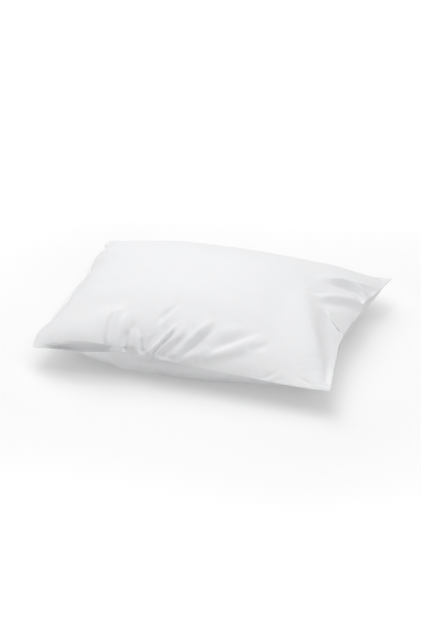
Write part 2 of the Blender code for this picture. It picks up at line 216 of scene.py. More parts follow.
TOP_FOLDS = (
    # The cloth rolls over the seam at the left of the front, and tucks in under that roll.
    Fold((16, 8), (94, 21), (176, 5), 22.0, 34.0, 7.0, 0.1, (0, 0, -0.9), rise=0.35, fade=0.75),
    Fold((24, 1), (84, 2), (152, 1), -3.0, 9.0, 9.0, 0.2),
    # It swells out over the left seam near the front corner, and on both sides of the crease by the roll.
    Fold((2, 92), (2, 48), (3, 8), 1.5, 18.0, 18.0, 0.3),
    Fold((92, 12), (103, 30), (118, 58), 4.0, 26.0, 18.0, 0.6),
    Fold((104, 44), (140, 60), (182, 52), 4.5, 18.0, 24.0, 0.4, fade=0.6),
    Fold((150, 3), (148, 36), (151, 78), 5.0, 4.5, 14.0, 0.9, fade=0.75),
    Fold((157, 4), (168, 26), (174, 66), 3.5, 9.0, 8.0, 0.5),
    Fold((163, 44), (167, 62), (174, 80), -2.5, 7.0, 7.0, 0.4),
    # Slight wrinkles along the hem of the mouth, and a pinch at its back corner.
    Fold((13, 68), (21, 84), (28, 102), -1.6, 4.0, 4.0, 0.3),
    Fold((27, 94), (27, 122), (27, 150), -1.2, 5.0, 4.0, 0.3),
    Fold((28, 156), (32, 182), (41, 198), -1.6, 4.0, 5.0, 0.3),
    Fold((27, 208), (31, 226), (25, 249), -1.8, 5.0, 4.0, 0.3),
    Fold((12, 284), (15, 297), (22, 306), -1.6, 4.0, 4.0, 0.3),
    Fold((1, 452), (6, 444), (14, 436), -3.0, 4.0, 4.0, 0.8),
    # A small pocket between the roll and the pull, with its creases.
    Fold((177, 1), (177, 14), (184, 33), -8.0, 5.0, 4.0, 1.0, fade=0.65),
    Fold((202, 3), (200, 16), (192, 36), 4.0, 17.0, 4.0, 0.9, fade=0.5),
    Fold((187, 26), (188, 37), (188, 50), -2.0, 6.0, 6.0, 0.5),
    Fold((208, 1), (207, 9), (210, 19), -5.5, 4.0, 3.5, 1.0, fade=0.6),
    Fold((156, 5), (188, 7), (222, 6), 3.0, 9.0, 5.0, 0.3, (0, 0, -0.9), rise=0.3, fade=0.6),
    Fold((213, 2), (224, 16), (237, 33), -3.5, 4.0, 5.0, 0.9),
    # Gathers that fan out from the pull: ridges, with troughs beside them.
    Fold((226, 2), (252, 25), (277, 66), 5.5, 5.0, 3.0, 0.9, fade=0.6),
    Fold((230, 2), (254, 22), (270, 48), -6.0, 2.5, 4.0, 1.0, fade=0.65),
    Fold((234, 2), (256, 18), (281, 40), 3.5, 3.5, 5.0, 0.9, fade=0.6),
    Fold((243, 1), (270, 18), (304, 52), -6.0, 5.0, 9.0, 1.0, fade=0.5),
    Fold((270, 22), (285, 48), (296, 78), 3.0, 9.0, 7.0, 0.3),
    Fold((280, 8), (311, 44), (341, 86), 7.0, 9.0, 6.0, 0.5, fade=0.65),
    Fold((284, 5), (318, 35), (347, 78), -6.5, 5.0, 8.0, 0.7, fade=0.6),
    Fold((288, 5), (328, 20), (356, 47), 5.0, 12.0, 8.0, 0.5),
    Fold((346, 31), (388, 56), (446, 104), -4.0, 10.0, 8.0, 0.5),
    Fold((358, 60), (380, 74), (404, 84), 2.5, 12.0, 10.0, 0.3),
    Fold((298, 7), (378, 32), (462, 103), 4.2, 9.0, 13.0, 0.4, fade=0.6),
    Fold((334, 6), (386, 22), (448, 44), -2.4, 8.0, 12.0, 0.5),
    Fold((420, 47), (441, 59), (452, 78), -2.5, 7.0, 8.0, 0.4),
    # A trough and a ridge higher up in the fan, and short puckers along the front seam.
    Fold((234, 46), (246, 77), (264, 110), -5.0, 5.0, 6.0, 0.1),
    Fold((241, 42), (256, 73), (270, 106), 2.5, 6.0, 10.0, 0.1),
    Fold((247, 2), (267, 3), (292, 4), -1.0, 4.0, 4.0, 0.8),
    Fold((448, 1), (462, 10), (478, 25), -1.6, 5.0, 5.0, 1.0),
    Fold((460, 1), (472, 9), (486, 24), 1.2, 6.0, 6.0, 0.9),
    # Long folds of the right flank, each a ridge with a hollow in front of it.
    Fold((572, 404), (552, 388), (528, 372), 4.0, 6.0, 7.0, 0.4, fade=0.6),
    Fold((578, 387), (563, 385), (545, 374), -4.0, 6.0, 5.0, 1.0, fade=0.5),
    Fold((580, 357), (534, 367), (474, 306), 8.5, 9.0, 7.0, 0.05, rise=0.35, fade=0.5),
    Fold((578, 344), (540, 351), (482, 298), -6.0, 10.0, 7.0, 1.0, fade=0.35),
    Fold((580, 330), (539, 295), (490, 248), 9.0, 10.0, 7.0, 0.5, rise=0.3, fade=0.6),
    Fold((578, 304), (540, 276), (494, 232), -3.5, 14.0, 9.0, 0.9, fade=0.4),
    # The cloth laps over itself where the right seam draws in, under a short ridge.
    Fold((556, 231), (532, 234), (506, 229), 2.5, 6.0, 7.0, 0.3),
    Fold((579, 203), (560, 221), (521, 240), 11.5, 5.0, 9.0, 0.4, (-0.7, -1.25, -0.2), fade=0.5),
    # The broad edge between the crown and the right flank, and a slight hollow by the seam.
    Fold((551, 40), (514, 158), (462, 296), 12.0, 40.0, 26.0, 0.5, rise=0.25, fade=0.6),
    Fold((566, 24), (566, 62), (562, 95), -2.5, 7.0, 7.0, 0.6),
    # The ear at the front right: slight ridges along its two seams, and a dent where it starts.
    Fold((578, 8), (577, 34), (577, 66), 1.2, 2.5, 2.5, 1.0, fade=0.5),
    Fold((545, 8), (562, 7), (578, 5), 1.5, 3.0, 3.0, 0.5, fade=0.9),
    Fold((548, 18), (562, 18), (577, 16), 1.5, 4.0, 4.0, 0.5, fade=0.9),
    Fold((520, 18), (531, 14), (543, 11), -1.2, 3.5, 3.5, 0.6),
)
UNDER_FOLDS = (
    # It tucks in below the front seam, bulges out below that, and tucks in along the right side.
    Fold((190, 2), (265, 5), (350, 7), -7.0, 9.0, 9.0, 0.2, rise=0.3, fade=0.5),
    Fold((110, 12), (190, 22), (300, 32), 4.0, 12.0, 12.0, 0.2),
    Fold((574, 150), (573, 260), (574, 380), -7.0, 9.0, 9.0, 0.2, rise=0.3, fade=0.7),
)


def column(rows: Sequence[object], field: str) -> np.ndarray:
    """One named column of a table, as an array."""
    return np.array([getattr(row, field) for row in rows], float)


def smooth_value(rows: Sequence[object], place: str, field: str, at: np.ndarray) -> np.ndarray:
    """Reads a table's column at any place.

    Between two rows it is the cubic through both, with the slopes of the chords beside them, so the
    curve passes through each row without a kink.

    Args:
        rows: The table.
        place: The name of the column that rises from row to row.
        field: The name of the column to read.
        at: The places to read it at.

    Returns:
        The value at each place.
    """
    places, values = column(rows, place), column(rows, field)
    slopes = np.gradient(values, places)
    first = np.clip(np.searchsorted(places, at, side="right") - 1, 0, len(places) - 2)
    step = places[first + 1] - places[first]
    t = (at - places[first]) / step
    start = (1 + 2 * t) * (1 - t) ** 2 * values[first] + t * (1 - t) ** 2 * step * slopes[first]
    end = t**2 * (3 - 2 * t) * values[first + 1] + t**2 * (t - 1) * step * slopes[first + 1]
    return start + end


def ease(t: np.ndarray) -> np.ndarray:
    """0 before t = 0, 1 after t = 1, and 3t² - 2t³ between."""
    t = np.clip(t, 0, 1)
    return t * t * (3 - 2 * t)


def spaced(count: int, spacing: Sequence[Spacing]) -> np.ndarray:
    """Divides 0 to 1 into count steps, closer together where the spacing is finer.

    Args:
        count: How many steps.
        spacing: The table of fineness.

    Returns:
        count + 1 places from 0 to 1.
    """
    samples = 1001
    fine = np.linspace(0, 1, samples)
    density = smooth_value(spacing, "place", "fineness", fine)
    length = np.concatenate([[0], np.cumsum((density[1:] + density[:-1]) / 2)])
    return np.interp(np.linspace(0, length[-1], count + 1), length, fine)


def unit(vectors: np.ndarray) -> np.ndarray:
    """The same directions, one long."""
    return vectors / np.maximum(np.linalg.norm(vectors, axis=-1, keepdims=True), TINY)


def normals(points: np.ndarray) -> np.ndarray:
    """Unit vectors square to a grid of points: the cross product of its two directions."""
    return unit(np.cross(np.gradient(points, axis=0), np.gradient(points, axis=1)))


def closed_numbers(shape: tuple[int, int]) -> dict[Panel, np.ndarray]:
    """Numbers the points of two panels that share their edge.

    Args:
        shape: How many points a panel has each way.

    Returns:
        The point numbers of each panel: the top's grid comes first, and then the under panel's inner
        points.
    """
    top = np.arange(shape[0] * shape[1]).reshape(shape)
    under = top.copy()
    inner = (shape[0] - 2) * (shape[1] - 2)
    under[1:-1, 1:-1] = top.size + np.arange(inner).reshape(shape[0] - 2, shape[1] - 2)
    return {Panel.TOP: top, Panel.UNDER: under}


def closed_points(panels: dict[Panel, np.ndarray]) -> np.ndarray:
    """The points of two panels in the order of closed_numbers."""
    top, under = panels[Panel.TOP], panels[Panel.UNDER][1:-1, 1:-1]
    return np.concatenate([top.reshape(-1, 3), under.reshape(-1, 3)])


def squares(number: np.ndarray) -> np.ndarray:
    """The four corners of each square of a grid of point numbers."""
    corners = (number[:-1, :-1], number[1:, :-1], number[1:, 1:], number[:-1, 1:])
    return np.stack(corners, axis=-1).reshape(-1, 4)


def broad_part(count: int, powers: int) -> np.ndarray:
    """A matrix that turns a row of count values into its best fit by polynomials up to a power."""
    basis = np.polynomial.chebyshev.chebvander(np.linspace(-1, 1, count), powers)
    return basis @ np.linalg.pinv(basis)


def read_between(places: np.ndarray, count: int) -> np.ndarray:
    """A matrix that reads a row of count even values at other places, as a soft curve.

    Each value counts by the cubic B-spline of its distance in steps, 2/3 - d² + d³/2 below one step
    and (2 - d)³/6 below two, and the weights of a place add up to 1.

    Args:
        places: Where to read, from 0 to 1.
        count: How many values the row has.

    Returns:
        A row of weights for each place.
    """
    steps = np.abs(places[:, None] * (count - 1) - np.arange(count))
    near = 2 / 3 - steps**2 + steps**3 / 2
    far = np.clip(2 - steps, 0, None) ** 3 / 6
    weights = np.where(steps < 1, near, far)
    return weights / weights.sum(axis=1, keepdims=True)


# ---- Finishes ----


def linear(hex_colour: str) -> tuple[float, float, float, float]:
    """Turns an sRGB hex colour into linear light, with the two parts of the sRGB curve.

    Args:
        hex_colour: The colour, such as F4F4F2.

    Returns:
        Linear red, green and blue, and full opacity.
    """
    channels = [int(hex_colour[i : i + 2], 16) / 255 for i in (0, 2, 4)]
    flat = [c / 12.92 if c <= 0.04045 else ((c + 0.055) / 1.055) ** 2.4 for c in channels]
    return (flat[0], flat[1], flat[2], 1.0)


def add_node(
    tree: bpy.types.NodeTree,
    kind: str,
    settings: dict[str, object] | None = None,
    inputs: dict[str | int, object] | None = None,
) -> bpy.types.Node:
    """Adds a node with its settings, its values and its links.

    Args:
        tree: The node tree to add it to.
        kind: The node's type, such as ShaderNodeMath.
        settings: Attributes to set on the node.
        inputs: For each input socket, by name or number, a value or the output socket to link to it.

    Returns:
        The new node.
    """
    node = tree.nodes.new(kind)
    for name, value in (settings or {}).items():
        setattr(node, name, value)
    for socket, value in (inputs or {}).items():
        if isinstance(value, bpy.types.NodeSocket):
            tree.links.new(value, node.inputs[socket])
        else:
            node.inputs[socket].default_value = value
    return node


@dataclass(frozen=True)
class Percale:
    """Bleached cotton percale, a close plain weave: matt, smooth and white, with a faint soft sheen.

    Its threads lie 0.33 mm apart, which is finer than the picture shows. The weave is drawn three times
    as coarse, so that it gives the cloth its fine tooth. Uneven threads, or slubs, streak it faintly both
    ways.
    """

    name: str = "bleached_cotton_percale"
    thread: str = "F5F5F6"
    between_threads: str = "E9EAEC"
    roughness: float = 0.82
    roughness_spread: float = 0.05
    specular: float = 0.3
    sheen: float = 0.12
    sheen_roughness: float = 0.5
    thread_mm: float = 1.0
    slub_mm: float = 6.0
    slub_stretch: float = 9.0
    slub_detail: float = 2.0
    weave_height_mm: float = 0.05
    slub_height_mm: float = 0.06

    def material(self) -> bpy.types.Material:
        """Builds the material: warp and weft as two sets of stripes, with uneven threads across both.

        Returns:
            The material, which reads the piece's own map of its flat cloth, in metres.
        """
        material = bpy.data.materials.new(self.name)
        material.use_nodes = True
        tree = material.node_tree
        shader = tree.nodes["Principled BSDF"]
        cloth = add_node(tree, "ShaderNodeUVMap", {"uv_map": FLAT_CLOTH_MAP}).outputs["UV"]
        weave = self._weave(tree, cloth)
        slubs = self._slubs(tree, cloth)
        # Inputs 6 and 7 of the mix are its two colours, and output 2 is the mixed colour.
        colour = add_node(
            tree,
            "ShaderNodeMix",
            {"data_type": "RGBA"},
            {0: weave, 6: linear(self.between_threads), 7: linear(self.thread)},
        )
        tree.links.new(colour.outputs[2], shader.inputs["Base Color"])
        rough = add_node(
            tree,
            "ShaderNodeMapRange",
            {},
            {
                "Value": slubs,
                "To Min": self.roughness - self.roughness_spread,
                "To Max": self.roughness + self.roughness_spread,
            },
        )
        tree.links.new(rough.outputs["Result"], shader.inputs["Roughness"])
        relief = add_node(
            tree,
            "ShaderNodeBump",
            {},
            {"Strength": 1.0, "Distance": self.slub_height_mm * MM, "Height": slubs},
        )
        fine_relief = add_node(
            tree,
            "ShaderNodeBump",
            {},
            {
                "Strength": 1.0,
                "Distance": self.weave_height_mm * MM,
                "Height": weave,
                "Normal": relief.outputs["Normal"],
            },
        )
        tree.links.new(fine_relief.outputs["Normal"], shader.inputs["Normal"])
        shader.inputs["Sheen Weight"].default_value = self.sheen
        shader.inputs["Sheen Roughness"].default_value = self.sheen_roughness
        shader.inputs["Specular IOR Level"].default_value = self.specular
        return material

    def _weave(self, tree: bpy.types.NodeTree, cloth: bpy.types.NodeSocket) -> bpy.types.NodeSocket:
        """Adds warp and weft: two waves across each other, of which the higher shows at each point.

        A wave of the node repeats every pi / 10 over its scale.

        Args:
            tree: The material's node tree.
            cloth: The place in the flat cloth, in metres.

        Returns:
            The weave's height, from 0 to 1.
        """
        waves = [
            add_node(
                tree,
                "ShaderNodeTexWave",
                {"bands_direction": direction},
                {"Vector": cloth, "Scale": math.pi / 10 / (self.thread_mm * MM), "Distortion": 0.0},
            )
            for direction in ("X", "Y")
        ]
        highest = add_node(
            tree,
            "ShaderNodeMath",
            {"operation": "MAXIMUM"},
            {0: waves[0].outputs["Fac"], 1: waves[1].outputs["Fac"]},
        )
        return highest.outputs[0]

    def _slubs(self, tree: bpy.types.NodeTree, cloth: bpy.types.NodeSocket) -> bpy.types.NodeSocket:
        """Adds uneven threads: noise drawn out along the warp and along the weft, and the mean of both.

        Args:
            tree: The material's node tree.
            cloth: The place in the flat cloth, in metres.

        Returns:
            How full the threads are, from 0 to 1.
        """
        stretched = [
            add_node(tree, "ShaderNodeMapping", {}, {"Vector": cloth, "Scale": scale})
            for scale in ((1, self.slub_stretch, 1), (self.slub_stretch, 1, 1))
        ]
        noises = [
            add_node(
                tree,
                "ShaderNodeTexNoise",
                {},
                {
                    "Vector": one.outputs[0],
                    "Scale": 1 / (self.slub_mm * MM),
                    "Detail": self.slub_detail,
                },
            )
            for one in stretched
        ]
        half = add_node(
            tree,
            "ShaderNodeMath",
            {"operation": "MULTIPLY"},
            {0: noises[1].outputs["Fac"], 1: 0.5},
        )
        mean = add_node(
            tree,
            "ShaderNodeMath",
            {"operation": "MULTIPLY_ADD"},
            {0: noises[0].outputs["Fac"], 1: 0.5, 2: half.outputs[0]},
        )
        return mean.outputs[0]


@dataclass(frozen=True)
class Glow:
    """How much the paper's painted glow grows from one distance to another, outside its dim rectangle of
    painted shade.
    """

    start_m: float
    end_m: float
    strength: float


@dataclass(frozen=True)
class StudioPaper:
    """Matt white paper whose glow is painted light: plain white farther out, with a dim rectangle of
    painted shade under the case.

    It reflects little more than half of the light, and glows for the rest, so that the softboxes leave
    only a faint shadow on it.
    """

    name: str = "white_paper_painted_light_and_shade"
    colour: str = "C4C4C4"
    roughness: float = 0.9
    painted_shade_half_m: tuple[float, float] = (0.21, 0.16)
    dim_glow: float = 0.26
    glows: tuple[Glow, ...] = (Glow(0.0, 0.15, 0.14), Glow(0.1, 1.1, 0.30), Glow(1.0, 4.0, 0.45))

    def material(self) -> bpy.types.Material:
        """Builds the material, whose painted glow grows with the distance from a dim rectangle of painted
        shade under the case.

        The distance is the length of what is left of |x| and |y| past the rectangle's half sides.

        Returns:
            The material, which reads the floor's own coordinates, in metres.
        """
        material = bpy.data.materials.new(self.name)
        material.use_nodes = True
        tree = material.node_tree
        shader = tree.nodes["Principled BSDF"]
        shader.inputs["Base Color"].default_value = linear(self.colour)
        shader.inputs["Roughness"].default_value = self.roughness
        shader.inputs["Emission Color"].default_value = linear(WHITE)
        away = add_node(tree, "ShaderNodeTexCoord").outputs["Object"]
        steps = (
            ("ABSOLUTE", {}),
            ("SUBTRACT", {1: (*self.painted_shade_half_m, 0)}),
            ("MAXIMUM", {1: (0, 0, 0)}),
        )
        for operation, other in steps:
            step = add_node(tree, "ShaderNodeVectorMath", {"operation": operation}, {0: away, **other})
            away = step.outputs[0]
        distance = add_node(tree, "ShaderNodeVectorMath", {"operation": "LENGTH"}, {0: away})
        total: bpy.types.NodeSocket | float = self.dim_glow
        for glow in self.glows:
            grown = add_node(
                tree,
                "ShaderNodeMapRange",
                {"interpolation_type": "SMOOTHSTEP"},
                {
                    "Value": distance.outputs["Value"],
                    "From Min": glow.start_m,
                    "From Max": glow.end_m,
                    "To Max": glow.strength,
                },
            )
            added = add_node(
                tree, "ShaderNodeMath", {"operation": "ADD"}, {0: grown.outputs["Result"], 1: total}
            )
            total = added.outputs[0]
        # The emission is painted light on the floor. It is weakest in the painted shade under the case
        # and strongest far out.
        tree.links.new(total, shader.inputs["Emission Strength"])
        return material


# ---- The case ----


@dataclass(frozen=True)
class Settling:
    """Cotton that its filling presses outwards, settled with the cloth simulation.

    The cotton is cut larger than the filled case, so it has some to spare beside the seams, and puckers
    there. Only the puckers are kept, because the case has its crown already. point_kg is the mass of
    each point of the grid. The stiffnesses, the damping and the pressure are in the simulation's units.
    """

    grid_mm: float = 6.0
    cut_mm: tuple[float, float] = (612.0, 510.0)
    frames: int = 24
    quality: int = 6
    point_kg: float = 0.03
    pressure: float = 1.5
    stretch: float = 60.0
    shear: float = 15.0
    bending: float = 1.0
    damping: float = 5.0
    broad_powers: int = 8
    most_mm: float = 5.0

    def puckers(self, panels: dict[Panel, np.ndarray]) -> dict[Panel, np.ndarray]:
        """Settles the cotton from a smooth start.

        A point's move, less the broad part of all moves, is its pucker. It is most_mm times the
        hyperbolic tangent of its size over most_mm, so that no point moves farther than that.

        Args:
            panels: The points of both panels on an even grid, in millimetres.

        Returns:
            The pucker of each point.
        """
        start = closed_points(panels)
        shape = panels[Panel.TOP].shape[:2]
        numbers = closed_numbers(shape)
        piece = self._cotton(start, shape, numbers)
        scene = bpy.context.scene
        for number in range(1, self.frames + 1):
            scene.frame_set(number)
        settled = piece.evaluated_get(bpy.context.evaluated_depsgraph_get()).data
        moved = np.empty(start.size, np.float32)
        settled.vertices.foreach_get("co", moved)
        moves = moved.reshape(-1, 3) / MM - start
        scene.frame_set(1)
        cotton = piece.data
        bpy.data.objects.remove(piece)
        bpy.data.meshes.remove(cotton)
        along, across = (broad_part(count, self.broad_powers) for count in shape)
        found = {}
        for panel in Panel:
            move = moves[numbers[panel]]
            move = move - np.einsum("ai,ijk,bj->abk", along, move, across)
            size = np.maximum(np.linalg.norm(move, axis=-1, keepdims=True), TINY)
            found[panel] = move / size * self.most_mm * np.tanh(size / self.most_mm)
        return found

    def _cotton(
        self, points: np.ndarray, shape: tuple[int, int], numbers: dict[Panel, np.ndarray]
    ) -> bpy.types.Object:
        """Adds the cotton at its start, with its flat cut as a second shape, and its simulation.

        Args:
            points: The points of the closed grid, in millimetres.
            shape: How many points a panel has each way.
            numbers: The point numbers of each panel.

        Returns:
            The object that the simulation moves.
        """
        mesh = bpy.data.meshes.new("cotton")
        faces = [squares(numbers[Panel.TOP]), squares(numbers[Panel.UNDER])[:, ::-1]]
        mesh.from_pydata(points * MM, [], np.concatenate(faces))
        piece = bpy.data.objects.new("cotton", mesh)
        bpy.context.scene.collection.objects.link(piece)
        along, across = (np.linspace(0, size, count) for size, count in zip(self.cut_mm, shape))
        flat = np.stack([*np.meshgrid(along, across, indexing="ij"), np.zeros(shape)], axis=-1)
        piece.shape_key_add(name="filled")
        cut = piece.shape_key_add(name="cut")
        cut.data.foreach_set("co", (closed_points({panel: flat for panel in Panel}) * MM).ravel())
        cloth = piece.modifiers.new("cloth", "CLOTH")
        cloth.collision_settings.use_collision = False
        settings = cloth.settings
        settings.rest_shape_key = cut
        settings.quality = self.quality
        settings.mass = self.point_kg
        settings.tension_stiffness = settings.compression_stiffness = self.stretch
        settings.shear_stiffness = self.shear
        settings.bending_stiffness = self.bending
        settings.tension_damping = settings.compression_damping = settings.shear_damping = self.damping
        settings.use_pressure = True
        settings.uniform_pressure_force = self.pressure
        settings.effector_weights.gravity = 0
        return piece


class SideReading(NamedTuple):
    """How each point of the flat cloth lies to one side of the case, in millimetres.

    along is how far along the side it is, from 0 to 1, and inward_mm how far in from it. top_reach_mm is
    how far in the crown reaches its full height.
    """

    rows: Sequence[Side]
    along: np.ndarray
    inward_mm: np.ndarray
    length_mm: float
    top_reach_mm: float


@dataclass
class FilledCase:
    """The filled case: two panels that meet in one seam, with its crown, its foot and its folds."""

    name: str = "filled_case"
    long_mm: float = 580.0
    short_mm: float = 465.0
    corner_height_mm: float = 52.0
    top_rise_mm: float = 80.0
    crown_round_power: float = 2.4
    foot_round_power: float = 2.0
    cloth_half_mm: float = 1.1
    cloth_ramp_mm: float = 2.0
    columns: int = 248
    rows: int = 200
    fold_steps: int = 20
    fold_reach: float = 3.0
    # The size of each layer's cells, and its greatest height, in millimetres.
    uneven_layers: tuple[tuple[float, float], ...] = ((46.0, 1.1), (21.0, 0.4), (9.0, 0.12))
    uneven_seed: int = 11
    seam_fade_mm: float = 3.0
    under_seam_fade_mm: float = 1.5
    foot_fade_mm: float = 16.0
    fill: float = 0.55
    pucker_share: float = 0.35
    pucker_share_back: float = 0.8
    pucker_share_under: float = 0.9
    pucker_back_start: float = 0.6
    pucker_back_run: float = 0.3
    pucker_reach_mm: float = 25.0
    gather_mm: float = 7.0
    gather_most_mm: float = 0.9
    gather_reach_mm: float = 11.0
    gather_seed: int = 23
    puckers: dict[Panel, np.ndarray] | None = None

    def settle(self, cloth: Settling) -> None:
        """Settles the cotton on an even grid of the case without its folds, and keeps its puckers.

        Args:
            cloth: The cotton's grid, cut and simulation.
        """
        counts = (round(size / cloth.grid_mm) + 1 for size in (self.long_mm, self.short_mm))
        u, v = np.meshgrid(*(np.linspace(0, 1, count) for count in counts), indexing="ij")
        panels = {}
        for panel in Panel:
            points = self.smooth_panel(panel, u, v)
            out = panel.value * normals(points)
            uneven = self.unevenness(u, v, panel) * self.kept(points, u, v, panel)
            panels[panel] = points + uneven[..., None] * out
        self.puckers = cloth.puckers(panels)

    def pucker_move(self, panel: Panel, u: np.ndarray, v: np.ndarray) -> np.ndarray:
        """The puckers at each point, fewer where the listed folds lie.

        Args:
            panel: The panel.
            u: Places along the long side, the same in each column.
            v: Places along the short side, the same in each row.

        Returns:
            The move of each point, in millimetres.
        """
        if self.puckers is None:
            return np.zeros(u.shape + (3,))
        found = self.puckers[panel]
        along = read_between(u[:, 0], found.shape[0])
        across = read_between(v[0], found.shape[1])
        backward = ease((v - self.pucker_back_start) / self.pucker_back_run)
        share = self.pucker_share + (self.pucker_share_back - self.pucker_share) * backward
        if panel is Panel.UNDER:
            inward = ease(self.seam_distance(u, v) / self.pucker_reach_mm)
            share = share + (self.pucker_share_under - share) * inward
        return share[..., None] * np.einsum("ai,ijk,bj->abk", along, found, across)

    def kept(self, points: np.ndarray, u: np.ndarray, v: np.ndarray, panel: Panel) -> np.ndarray:
        """1, but fading to 0 at the edge and at the surface that the case lies on."""
        fade_mm = self.seam_fade_mm if panel is Panel.TOP else self.under_seam_fade_mm
        return ease(self.seam_distance(u, v) / fade_mm) * self.clear(points)

    def clear(self, points: np.ndarray) -> np.ndarray:
        """1, but fading to 0 at the surface that the case lies on."""
        return ease(points[..., 2] / self.foot_fade_mm)

    def seam_height(self, side: Sequence[Side], at: np.ndarray) -> np.ndarray:
        """The seam's height along a side."""
        return self.corner_height_mm + smooth_value(side, "along", "lift", at)

    def seam_surface(self, u: np.ndarray, v: np.ndarray) -> np.ndarray:
        """The smooth sheet that the four seam curves bound.

        Each pair of opposite sides is blended straight across, and for the height the corners, which
        both pairs count, are taken off once.

        Args:
            u: Places along the long side.
            v: Places along the short side.

        Returns:
            The sheet's points, in millimetres.
        """
        front, back = (smooth_value(side, "along", "drawn_in", u) for side in (FRONT, BACK))
        left, right = (smooth_value(side, "along", "drawn_in", v) for side in (LEFT, RIGHT))
        x = (u - 0.5) * self.long_mm + (1 - u) * left - u * right
        y = (v - 0.5) * self.short_mm + (1 - v) * front - v * back
        across = (1 - v) * self.seam_height(FRONT, u) + v * self.seam_height(BACK, u)
        along = (1 - u) * self.seam_height(LEFT, v) + u * self.seam_height(RIGHT, v)
        return np.stack([x, y, across + along - self.corner_height_mm], axis=-1)

    def sides(self, u: np.ndarray, v: np.ndarray) -> tuple[SideReading, ...]:
        """Reads how each point of the flat cloth lies to the four sides.

        The crown reaches its full height at the middle.

        Args:
            u: Places along the long side.
            v: Places along the short side.

        Returns:
            The readings of the front, the back, the left and the right side.
        """
        long, short = self.long_mm, self.short_mm
        return (
            SideReading(FRONT, u, v * short, long, short / 2),
            SideReading(BACK, u, (1 - v) * short, long, short / 2),
            SideReading(LEFT, v, u * long, short, long / 2),
            SideReading(RIGHT, v, (1 - u) * long, short, long / 2),
        )

    def seam_distance(self, u: np.ndarray, v: np.ndarray) -> np.ndarray:
        """How far each point of the flat cloth is from the nearest edge."""
        return np.min([side.inward_mm for side in self.sides(u, v)], axis=0)

    def fullness(self, u: np.ndarray, v: np.ndarray, panel: Panel) -> np.ndarray:
        """0 on the pressed edge and 1 at the full crown, or over the foot.

        For each side it is 1 - (1 - part) to the round power, all to the side's own power, where part is
        how far the point is from the lip to the reach. The four are multiplied.

        Args:
            u: Places along the long side.
            v: Places along the short side.
            panel: The panel.

        Returns:
            The fullness at each place.
        """
        top = panel is Panel.TOP
        round_power = self.crown_round_power if top else self.foot_round_power
        full = np.ones_like(u)
        for side in self.sides(u, v):
            lip = np.clip(smooth_value(side.rows, "along", "lip", side.along), 0, None)
            power = smooth_value(side.rows, "along", "top_power" if top else "foot_power", side.along)
            foot_reach = smooth_value(side.rows, "along", "foot_reach", side.along)
            reach = side.top_reach_mm if top else foot_reach
            part = np.clip((side.inward_mm - lip) / (reach - lip), 0, 1)
            full = full * (1 - (1 - part) ** round_power) ** power
        return full

    def cloth_half(self, u: np.ndarray, v: np.ndarray) -> np.ndarray:
        """Half the thickness of the pressed layers: a quarter circle from the edge, then level."""
        part = np.clip(self.seam_distance(u, v) / self.cloth_ramp_mm, 0, 1)
        return self.cloth_half_mm * np.sqrt(1 - (1 - part) ** 2)

    def smooth_panel(self, panel: Panel, u: np.ndarray, v: np.ndarray) -> np.ndarray:
        """A panel without its folds: the seam's sheet raised to the crown, or brought to the foot.

        Args:
            panel: The panel.
            u: Places along the long side.
            v: Places along the short side.

        Returns:
            The panel's points, in millimetres.
        """
        points = self.seam_surface(u, v)
        full = self.fullness(u, v, panel)
        if panel is Panel.TOP:
            points[..., 2] += self.cloth_half(u, v) + self.top_rise_mm * full
        else:
            points[..., 2] = np.clip(points[..., 2] - self.cloth_half(u, v), 0, None) * (1 - full)
        return points

    def fold_line(self, panel: Panel, fold: Fold) -> tuple[np.ndarray, np.ndarray]:
        """The line of a fold on the smooth panel.

        In the flat cloth it is the quadratic curve that passes through the fold's three places.

        Args:
            panel: The panel it lies on.
            fold: The fold.

        Returns:
            Points along it, and how far along its run each is, from 0 to 1.
        """
        t = np.linspace(0, 1, self.fold_steps + 1)
        start, bend, end = (np.array(place, float) for place in (fold.start, fold.bend, fold.end))
        middle = 2 * bend - (start + end) / 2
        near, between, far = ((1 - t) ** 2, 2 * t * (1 - t), t**2)
        flat = np.outer(near, start) + np.outer(between, middle) + np.outer(far, end)
        u, v = np.clip(flat / (self.long_mm, self.short_mm), 0, 1).T
        return self.smooth_panel(panel, u, v), t

    def fold_push(self, points: np.ndarray, out: np.ndarray, panel: Panel, fold: Fold) -> np.ndarray:
        """How a fold moves each point.

        The push is the fold's height times exp(-(distance / width)²), with the distance from its line
        in space, and rises and fades along its run. It points outwards, turned by the fold's lean.

        Args:
            points: A grid of points of the panel.
            out: Their outward directions.
            panel: The panel.
            fold: The fold.

        Returns:
            The move of each point.
        """
        line, run = self.fold_line(panel, fold)
        reach = self.fold_reach * max(fold.left, fold.right)
        near = np.all((points > line.min(axis=0) - reach) & (points < line.max(axis=0) + reach), axis=-1)
        a, way = line[:-1, None], np.diff(line, axis=0)[:, None]
        length = np.maximum(np.linalg.norm(way, axis=-1), TINY)
        offset = points[near] - a
        t = np.clip((offset * way).sum(axis=-1) / length**2, 0, 1)
        offset = offset - t[..., None] * way
        distance = np.maximum(np.linalg.norm(offset, axis=-1), TINY)
        side = (np.cross(out[near], way / length[..., None]) * offset).sum(axis=-1) / distance
        width = (fold.left + fold.right) / 2 + side * (fold.left - fold.right) / 2
        along = run[:-1, None] + t * np.diff(run)[:, None]
        rise = fold.root + (1 - fold.root) * ease(along / fold.rise)
        fade = 1 - ease((along - fold.fade) / (1 - fold.fade))
        share = np.max(rise * fade * np.exp(-((distance / width) ** 2)), axis=0)
        push = np.zeros_like(points)
        push[near] = fold.height * share[:, None] * unit(out[near] + fold.lean)
        return push

